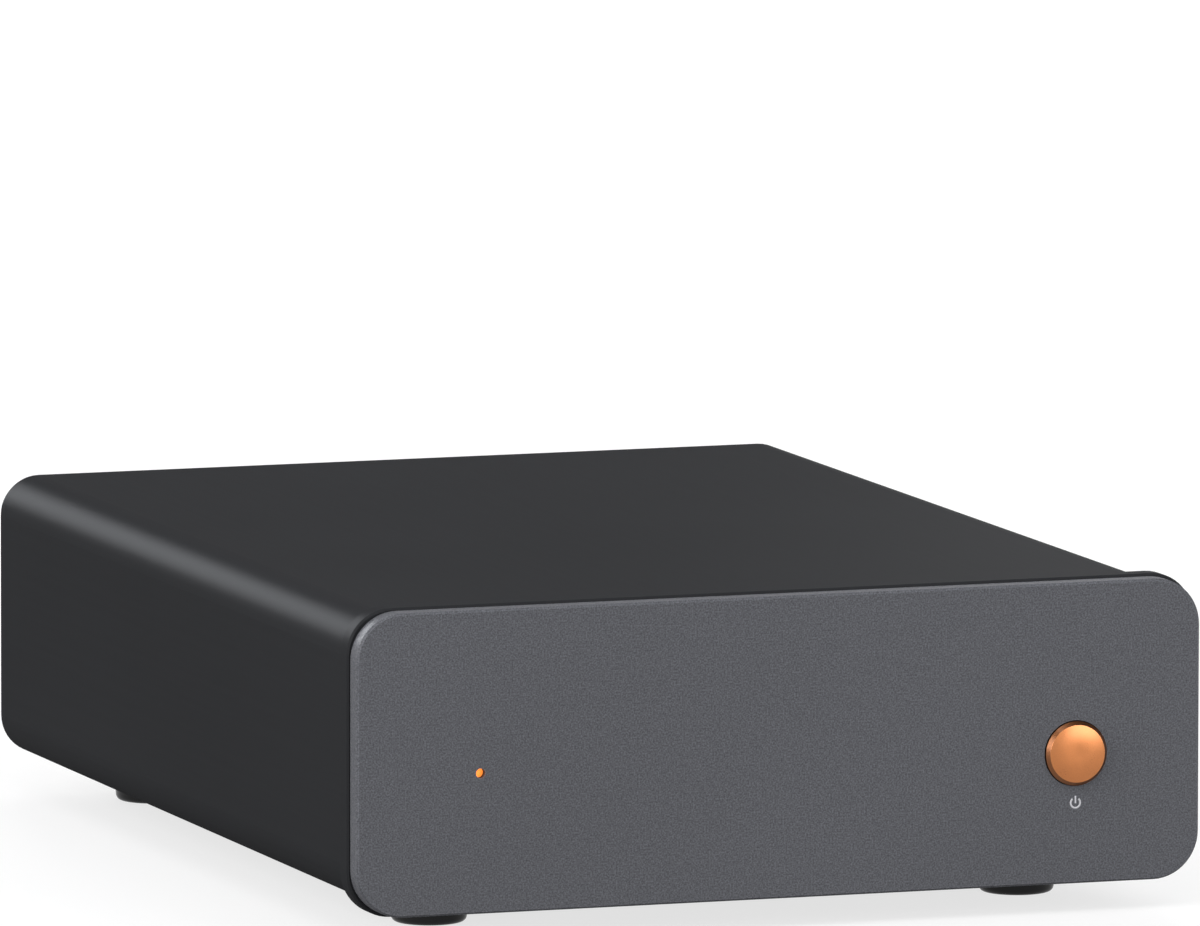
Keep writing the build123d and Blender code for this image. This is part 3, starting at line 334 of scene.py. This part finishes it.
def ringed(material, centre, edge, inner, outer):
    """Tint a finish by INNER inside and by OUTER outside a ring about the line along Y through CENTRE.

    EDGE holds the two radii, in millimetres, between which one tint turns into the other.
    """
    tree = material.node_tree
    place = tree.nodes.new("ShaderNodeTexCoord")
    offset = tree.nodes.new("ShaderNodeVectorMath")
    offset.operation = "SUBTRACT"
    offset.inputs[1].default_value = (centre.x, 0, centre.z)
    across = tree.nodes.new("ShaderNodeVectorMath")
    across.operation = "MULTIPLY"
    across.inputs[1].default_value = (1, 0, 1)
    distance = tree.nodes.new("ShaderNodeVectorMath")
    distance.operation = "LENGTH"
    tree.links.new(place.outputs["Object"], offset.inputs[0])
    tree.links.new(offset.outputs["Vector"], across.inputs[0])
    tree.links.new(across.outputs["Vector"], distance.inputs[0])
    near, far = edge
    tint(material, spread(tree, distance.outputs["Value"], near / 1000, far / 1000, inner, outer))


copper_anodised = finish("copper_anodised", (0.57, 0.203, 0.063), 0.34, metallic=1.0, sheen_coat=(0.6, 0.25))
grain(copper_anodised, 2.5, tones=0.03, gloss=0.03)
grain(copper_anodised, 0.12, tones=0.05, gloss=0.05, height=0.0015)
# Outside the face's edge, the bevel and side are darkened as painted shade.
ringed(copper_anodised, middle_of("power_button"), face_edge, 1, painted_bevel_shade)
dress(copper_anodised, "power_button")

# ---------------------------------------------------------------- power light
# A clear amber rod in the faceplate's hole carries the light of an LED behind it. The LED glows, and
# its holder is a moulded block on the board.
glow_colour = (1.0, 0.30, 0.05)
glow_strength = 0.9
amber_clear = finish("amber_clear", (1.0, 0.42, 0.06), 0.22)
amber = amber_clear.node_tree.nodes["Principled BSDF"].inputs
amber["Transmission Weight"].default_value = 0.3
amber["Emission Color"].default_value = (*glow_colour, 1)
amber["Emission Strength"].default_value = glow_strength
grain(amber_clear, 0.7, tones=0.10, gloss=0.05)
dress(amber_clear, "light_guide", "led")

# ---------------------------------------------------------------- standby mark
# The standby sign under the button, a broken ring and a stem, screen printed in light grey ink on the
# finished faceplate. Its sizes are millimetres.
print_thickness = 0.03
ring_radius = 0.6
ring_gap = 38               # degrees from the top to each end of the ring
ring_width = 0.24
stem_ends = (-0.05, 0.85)   # up from the ring's middle
stem_width = 0.22
mark_below_button = 5.95


def printed_line(points, width):
    """A line of ink of WIDTH millimetres through POINTS, given across and up in millimetres."""
    bpy.ops.object.select_all(action="DESELECT")
    bpy.ops.curve.primitive_bezier_curve_add()
    line = bpy.context.object
    spline = line.data.splines[0]
    points_at_start = len(spline.bezier_points)
    spline.bezier_points.add(len(points) - points_at_start)
    for knot, (across, high) in zip(spline.bezier_points, points):
        knot.co = (across / 1000, high / 1000, 0)
        knot.handle_left_type = "VECTOR"
        knot.handle_right_type = "VECTOR"
    line.data.resolution_u = 1
    line.data.bevel_depth = width / 2 / 1000
    line.data.bevel_resolution = 1
    line.data.use_fill_caps = True
    bpy.ops.object.convert(target="MESH")
    line.scale = (1, 1, 2 * print_thickness / width)
    bpy.ops.object.transform_apply(location=False, rotation=False, scale=True)
    return line


def arc(radius, start, end, steps):
    """Points on an arc about 0, its angles in degrees clockwise from the top."""
    angles = [math.radians(start + (end - start) * step / steps) for step in range(steps + 1)]
    return [(radius * math.sin(angle), radius * math.cos(angle)) for angle in angles]


def join_print(name, marks, place, to_rear, material):
    """Join marks into one piece that lies on a face at PLACE and is read from behind if TO_REAR."""
    bpy.ops.object.select_all(action="DESELECT")
    for mark in marks:
        mark.select_set(True)
    bpy.context.view_layer.objects.active = marks[0]
    if len(marks) > 1:
        bpy.ops.object.join()
    piece = bpy.context.view_layer.objects.active
    piece.name = name
    piece.data.name = name
    piece.rotation_euler = Euler((math.pi / 2, 0, math.pi if to_rear else 0))
    piece.location = place
    bpy.ops.object.transform_apply(location=True, rotation=True, scale=True)
    piece.data.materials.clear()
    piece.data.materials.append(material)
    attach(piece, "unit")


standby_ink = finish("standby_ink", (0.60, 0.60, 0.63), 0.5, specular=0.3)
grain(standby_ink, 0.15, tones=0.08, gloss=0.05, height=0.003)
button = middle_of("power_button")
face_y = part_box("faceplate")[0].y
mark_place = (button.x, face_y, button.z - mark_below_button / 1000)
ring = printed_line(arc(ring_radius, ring_gap, 360 - ring_gap, steps=24), ring_width)
stem = printed_line([(0, end) for end in stem_ends], stem_width)
join_print("standby_mark", [ring, stem], mark_place, False, standby_ink)

# ---------------------------------------------------------------- rear panel
# A flat aluminium plate, brushed along its width and anodised black, let in between the housing's
# walls and held by two countersunk screws.
black_brushed = finish("black_brushed", (0.034, 0.035, 0.0395), 0.42, specular=0.2)
grain(black_brushed, 50, tones=0.04)
grain(black_brushed, 0.10, run=(120, 1, 1), tones=0.12, gloss=0.08, height=0.003)
grain(black_brushed, 0.30, run=(40, 1, 1), tones=0.08, gloss=0.04, height=0.002)
# The panel's edges are lightened as a painted highlight.
painted_edge_highlight(black_brushed, 0.2, 1.5)
dress(black_brushed, "rear_panel")

# ---------------------------------------------------------------- screws
# Screws of blackened steel. Countersunk ones with a hexagon socket lie flush in both ends, and
# round-headed ones with a cross in the head hold the feet.
black_screw = finish("black_screw", (0.005, 0.005, 0.0055), 0.42, specular=0.15)
grain(black_screw, 1.5, tones=0.10, gloss=0.06)
grain(black_screw, 0.12, tones=0.15, gloss=0.08, height=0.003)
# The heads' edges are lightened strongly as a painted highlight.
painted_edge_highlight(black_screw, 0.12, 8)
dress(black_screw, "rear_screws", "front_screws", "foot_screws")

# ---------------------------------------------------------------- feet
# Four round feet, moulded in hard black plastic with a polished side. A screw in a recess fixes each
# to the housing's underside.
black_gloss = finish("black_gloss", (0.006, 0.006, 0.007), 0.12, specular=0.4)
grain(black_gloss, 4, tones=0.10, gloss=0.05)
grain(black_gloss, 0.5, run=(1, 1, 0.3), gloss=0.03, height=0.004)
# The feet's edges are lightened strongly as a painted highlight.
painted_edge_highlight(black_gloss, 0.2, 8)
dress(black_gloss, "feet")

# ---------------------------------------------------------------- phono jacks
# Each jack is a gold-plated shell round a moulded insulator, red for right and white for left, with a bronze
# contact deep inside, darkened with painted shade. A moulded block carries each pair and stands on the board.
gold_plate = finish("gold_plate", (0.80, 0.56, 0.25), 0.09, metallic=1.0)
grain(gold_plate, 2, tones=0.05, gloss=0.03)
grain(gold_plate, 0.08, run=(1, 6, 1), tones=0.03, gloss=0.04, height=0.001)
# The contacts' bronze is darkened nearly to black, as painted shade in the holes.
painted_shade_bronze = finish("painted_shade_bronze", (0.035, 0.024, 0.015), 0.5, metallic=1.0)
grain(painted_shade_bronze, 0.15, tones=0.15, gloss=0.10, height=0.003)
red_moulding = finish("red_moulding", (0.90, 0.115, 0.07), 0.34)
grain(red_moulding, 1.2, tones=0.06, gloss=0.05)
grain(red_moulding, 0.1, tones=0.04, gloss=0.05, height=0.003)
white_moulding = finish("white_moulding", (0.88, 0.88, 0.86), 0.34)
grain(white_moulding, 1.2, tones=0.03, gloss=0.05)
grain(white_moulding, 0.1, tones=0.02, gloss=0.05, height=0.003)
black_moulding = finish("black_moulding", (0.010, 0.010, 0.011), 0.45, specular=0.2)
grain(black_moulding, 3, tones=0.08, gloss=0.04)
grain(black_moulding, 0.14, tones=0.12, gloss=0.08, height=0.005)
# The sharp edges are lightened as a painted highlight.
painted_edge_highlight(black_moulding, 0.15, 0.6)
for pair in ("input", "output"):
    dress(gold_plate, pair + "_right_shell", pair + "_left_shell")
    dress(painted_shade_bronze, pair + "_contacts")
    dress(red_moulding, pair + "_right_insulator")
    dress(white_moulding, pair + "_left_insulator")
    dress(black_moulding, pair + "_jack_block")

# ---------------------------------------------------------------- gain control
# A satin black knob with a grip bar, pressed on the flat of a plated shaft. The shaft turns in a plated
# bushing, with a white rotor on it inside the switch's moulded case.
black_knob = finish("black_knob", (0.012, 0.012, 0.013), 0.28, specular=0.35)
grain(black_knob, 5, tones=0.05, gloss=0.03)
grain(black_knob, 0.12, tones=0.08, gloss=0.06, height=0.003)
# The grip's edges are lightened strongly as a painted highlight.
painted_edge_highlight(black_knob, 0.4, 6)
dress(black_knob, "gain_knob")

nickel = finish("nickel", (0.74, 0.73, 0.71), 0.24, metallic=1.0)
grain(nickel, 2, tones=0.04, gloss=0.05)
grain(nickel, 0.10, tones=0.04, gloss=0.06, height=0.002)
dress(nickel, "gain_shaft", "gain_bushing")
dress(white_moulding, "gain_rotor")
dress(black_moulding, "gain_switch_case")

# ---------------------------------------------------------------- cartridge switch
# A slide switch under the board, in a folded plated case with a moulded base. Its slider has a black cap
# in the panel's slot and a grey carriage that runs inside the case.
cap_shade = 0.02        # the cap's tone, as a share of the carriage's
cap_start = 0.1         # how far inside the case's face the tone starts to change, in millimetres


def capped(material, depth, start, shade):
    """Tint a finish by SHADE past DEPTH along Y. The tint starts START millimetres before it."""
    tree = material.node_tree
    place = tree.nodes.new("ShaderNodeTexCoord")
    along = tree.nodes.new("ShaderNodeSeparateXYZ")
    tree.links.new(place.outputs["Object"], along.inputs[0])
    tint(material, spread(tree, along.outputs["Y"], depth - start / 1000, depth, 1, shade))


dress(nickel, "mode_switch_frame")
dress(black_moulding, "mode_switch_base")
two_tone = finish("two_tone", (0.50, 0.50, 0.50), 0.35, specular=0.3)
grain(two_tone, 0.15, tones=0.08, gloss=0.06, height=0.003)
capped(two_tone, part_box("mode_switch_frame")[1].y, cap_start, cap_shade)
dress(two_tone, "mode_slider")

# ---------------------------------------------------------------- power jack
# A plated sleeve with an eight-sided opening, a split pin of gold darkened with painted shade in its middle,
# and a moulded body. Sleeve and pin have legs that are soldered to the board.
satin_nickel = finish("satin_nickel", (0.46, 0.46, 0.45), 0.36, metallic=1.0)
grain(satin_nickel, 0.8, tones=0.08, gloss=0.06)
grain(satin_nickel, 0.15, tones=0.10, gloss=0.08, height=0.004)
dress(satin_nickel, "power_jack_ring")
# The pin's gold is darkened as painted shade in the opening.
painted_shade_gold = finish("painted_shade_gold", (0.26, 0.17, 0.07), 0.25, metallic=1.0)
grain(painted_shade_gold, 0.15, tones=0.12, gloss=0.08, height=0.003)
dress(painted_shade_gold, "power_jack_pin")
dress(black_moulding, "power_jack_body")

# ---------------------------------------------------------------- ground terminal
# A plated stud with a grooved thumb nut and a washer outside, and a hexagon nut, a tinned lug and an
# insulated wire inside. The stud is drilled for a plug, and its bore is darkened with painted shade.
bore_edge = (2.11, 2.16)    # where the bore ends and metal starts, in millimetres from the axis
painted_bore_shade = 0.01
dress(nickel, "ground_washer", "ground_hex_nut")
dress(satin_nickel, "ground_nut")
drilled_stud = finish("drilled_stud", (0.46, 0.46, 0.45), 0.36, metallic=1.0)
grain(drilled_stud, 0.10, tones=0.04, gloss=0.06, height=0.002)
# Inside the bore's edge the stud is darkened as painted shade.
ringed(drilled_stud, middle_of("ground_post"), bore_edge, painted_bore_shade, 1)
dress(drilled_stud, "ground_post")
tinned = finish("tinned", (0.72, 0.72, 0.71), 0.34, metallic=1.0)
grain(tinned, 1.5, tones=0.08, gloss=0.08)
grain(tinned, 0.12, tones=0.05, gloss=0.06, height=0.004)
dress(tinned, "ground_lug")
wire_green = finish("wire_green", (0.06, 0.32, 0.08), 0.45)
grain(wire_green, 0.6, tones=0.08, gloss=0.06, height=0.004)
dress(wire_green, "ground_wire")

# ---------------------------------------------------------------- gain scale
# The marks on the rear panel are screen printed in light grey ink. The gain scale is an arc round the
# knob, with a leader from it to each of four settings. Its sizes are millimetres from the knob's axis.
line_width = 0.17
letter_height = 1.48
scale_radius = 6.3
scale_end = 54              # degrees to each side of the top
low_leader = [(5.1, 3.72), (7.7, 5.71), (12.75, 5.71)]
high_leader = [(2.05, 5.96), (2.93, 8.93), (8.0, 8.93)]
low_words = 6.12            # bottoms of the words on the leaders
high_words = 9.32
setting_width = 5.0


def printed_words(words, left, bottom, width, height=letter_height):
    """Capitals of HEIGHT millimetres whose left lower corner is at LEFT and BOTTOM, drawn to WIDTH."""
    bpy.ops.object.select_all(action="DESELECT")
    bpy.ops.object.text_add()
    label = bpy.context.object
    label.data.body = words
    label.data.size = height / 1000
    label.data.resolution_u = 6
    label.data.extrude = print_thickness / 1000
    bpy.ops.object.convert(target="MESH")
    corners = [Vector(corner) for corner in label.bound_box]
    low = Vector([min(corner[axis] for corner in corners) for axis in range(3)])
    high = Vector([max(corner[axis] for corner in corners) for axis in range(3)])
    label.scale = (width / 1000 / (high.x - low.x), height / 1000 / (high.y - low.y), 1)
    label.location = (left / 1000 - low.x * label.scale.x, bottom / 1000 - low.y * label.scale.y, 0)
    bpy.ops.object.transform_apply(location=True, rotation=False, scale=True)
    return label


rear_ink = finish("rear_ink", (0.38, 0.38, 0.41), 0.5, specular=0.3)
grain(rear_ink, 0.15, tones=0.08, gloss=0.05, height=0.003)
panel_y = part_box("rear_panel")[1].y
knob = middle_of("gain_knob")
marks = [printed_line(arc(scale_radius, -scale_end, scale_end, steps=36), line_width)]
for side in (-1, 1):
    for leader in (low_leader, high_leader):
        marks.append(printed_line([(side * across, high) for across, high in leader], line_width))
for words, left, bottom in (("38DB", -12.68, low_words), ("48DB", -8.0, high_words),
                            ("56DB", 2.97, high_words), ("66DB", 7.73, low_words)):
    marks.append(printed_words(words, left, bottom, setting_width))
marks.append(printed_words("GAIN", left=-2.45, bottom=-7.80, width=4.95))
join_print("gain_scale", marks, (knob.x, panel_y, knob.z), True, rear_ink)

# ---------------------------------------------------------------- jack marks
# A bracket under each pair of jacks, with a letter for each jack in it and the pair's name below, in the
# same ink. The sizes are millimetres from the middle between the two jacks.
bracket_half = [(-14.7, -2.87), (-13.6, -5.6), (-11.3, -8.05), (-6.0, -8.28)]
bracket_steps = 16
jack_letter_bottom = -7.42
jack_letter_height = 1.43
pair_name_bottom = -10.94
for pair, words, width in (("input", "MM/MC INPUT", 14.0), ("output", "OUTPUT", 8.4)):
    jacks = [middle_of(pair + "_right_shell"), middle_of(pair + "_left_shell")]
    centre = (jacks[0] + jacks[1]) / 2
    controls = [Vector(point) for point in bracket_half]
    curve = [tuple(point) for point in interpolate_bezier(*controls, bracket_steps)]
    marks = [printed_line(curve + [(-across, high) for across, high in reversed(curve)], line_width)]
    for letter, jack, letter_width in (("R", jacks[0], 1.35), ("L", jacks[1], 1.0)):
        left = (centre.x - jack.x) * 1000 - letter_width / 2
        marks.append(printed_words(letter, left, jack_letter_bottom, letter_width, jack_letter_height))
    marks.append(printed_words(words, -width / 2, pair_name_bottom, width))
    join_print(pair + "_marks", marks, (centre.x, panel_y, centre.z), True, rear_ink)

# ---------------------------------------------------------------- switch, supply and earth marks
# The cartridge switch's two settings beside its slot, the supply under the inlet and the earth sign
# under the ground terminal, in the same ink. The sizes are millimetres from the middle of each.
earth_across = -0.1
earth_stem = (-4.9, -5.74)
earth_bars = ((-5.74, 2.18), (-6.24, 1.8), (-6.72, 1.46))   # height and width
switch = middle_of("mode_switch_frame")
marks = [
    printed_words("MC", left=-6.67, bottom=-0.73, width=3.05),
    printed_words("MM", left=3.36, bottom=-0.73, width=3.25),
]
join_print("cartridge_marks", marks, (switch.x, panel_y, switch.z), True, rear_ink)

inlet = middle_of("power_jack_body")
marks = [printed_words("AC 16V", left=-3.65, bottom=-5.485, width=7.17)]
join_print("supply_mark", marks, (inlet.x, panel_y, inlet.z), True, rear_ink)

stud = middle_of("ground_post")
marks = [printed_line([(earth_across, end) for end in earth_stem], line_width)]
for high, width in earth_bars:
    ends = [(earth_across - width / 2, high), (earth_across + width / 2, high)]
    marks.append(printed_line(ends, line_width))
join_print("earth_mark", marks, (stud.x, panel_y, stud.z), True, rear_ink)

# ---------------------------------------------------------------- power switch
# A push switch behind the button: a white plunger and a steel spring in a moulded case. The spring stands
# on the case's rear wall, and a copy of it, carried with the unit, takes its place.
dress(white_moulding, "power_switch_plunger")
dress(black_moulding, "power_switch_case", "led_holder")
spring_steel = finish("spring_steel", (0.62, 0.62, 0.62), 0.28, metallic=1.0)
grain(spring_steel, 0.1, tones=0.06, gloss=0.08, height=0.002)
dress(spring_steel, "power_switch_spring")

bpy.ops.object.select_all(action="DESELECT")
nodes["power_switch_spring"].select_set(True)
bpy.context.view_layer.objects.active = nodes["power_switch_spring"]
bpy.ops.object.duplicate()
spring = bpy.context.object
spring.name = "pressed_spring"
spring.data.name = "pressed_spring"
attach(spring, "unit")
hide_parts("power_switch_spring")
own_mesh(spring)

# ---------------------------------------------------------------- main board and its parts
# A green board in slots of the housing, with the switches' tinned pins, sleeved capacitors, wound
# and moulded ones, blue resistors, amplifiers in sockets and two regulators on their heatsinks.
board_green = finish("board_green", (0.02, 0.12, 0.05), 0.35)
grain(board_green, 6, tones=0.12, gloss=0.05)
grain(board_green, 0.9, run=(6, 1, 1), tones=0.10, height=0.004)
dress(board_green, "main_board")
dress(tinned, "switch_pins")

can_sleeve = finish("can_sleeve", (0.025, 0.026, 0.045), 0.28)
grain(can_sleeve, 3, tones=0.12, gloss=0.05)
grain(can_sleeve, 0.2, gloss=0.05, height=0.003)
dress(can_sleeve, "filter_capacitors", "coupling_capacitors")

film_red = finish("film_red", (0.52, 0.06, 0.04), 0.32)
grain(film_red, 1.6, tones=0.10, gloss=0.06, height=0.006)
dress(film_red, "film_capacitors")

resistor_blue = finish("resistor_blue", (0.10, 0.26, 0.42), 0.30)
grain(resistor_blue, 0.8, tones=0.08, gloss=0.06, height=0.004)
dress(resistor_blue, "resistors")

dress(black_moulding, "rectifier_diodes", "op_amp_sockets", "op_amps", "voltage_regulators")

bare_aluminium = finish("bare_aluminium", (0.58, 0.58, 0.60), 0.38, metallic=1.0)
grain(bare_aluminium, 0.3, run=(1, 1, 30), tones=0.08, gloss=0.08, height=0.004)
dress(bare_aluminium, "heatsinks")
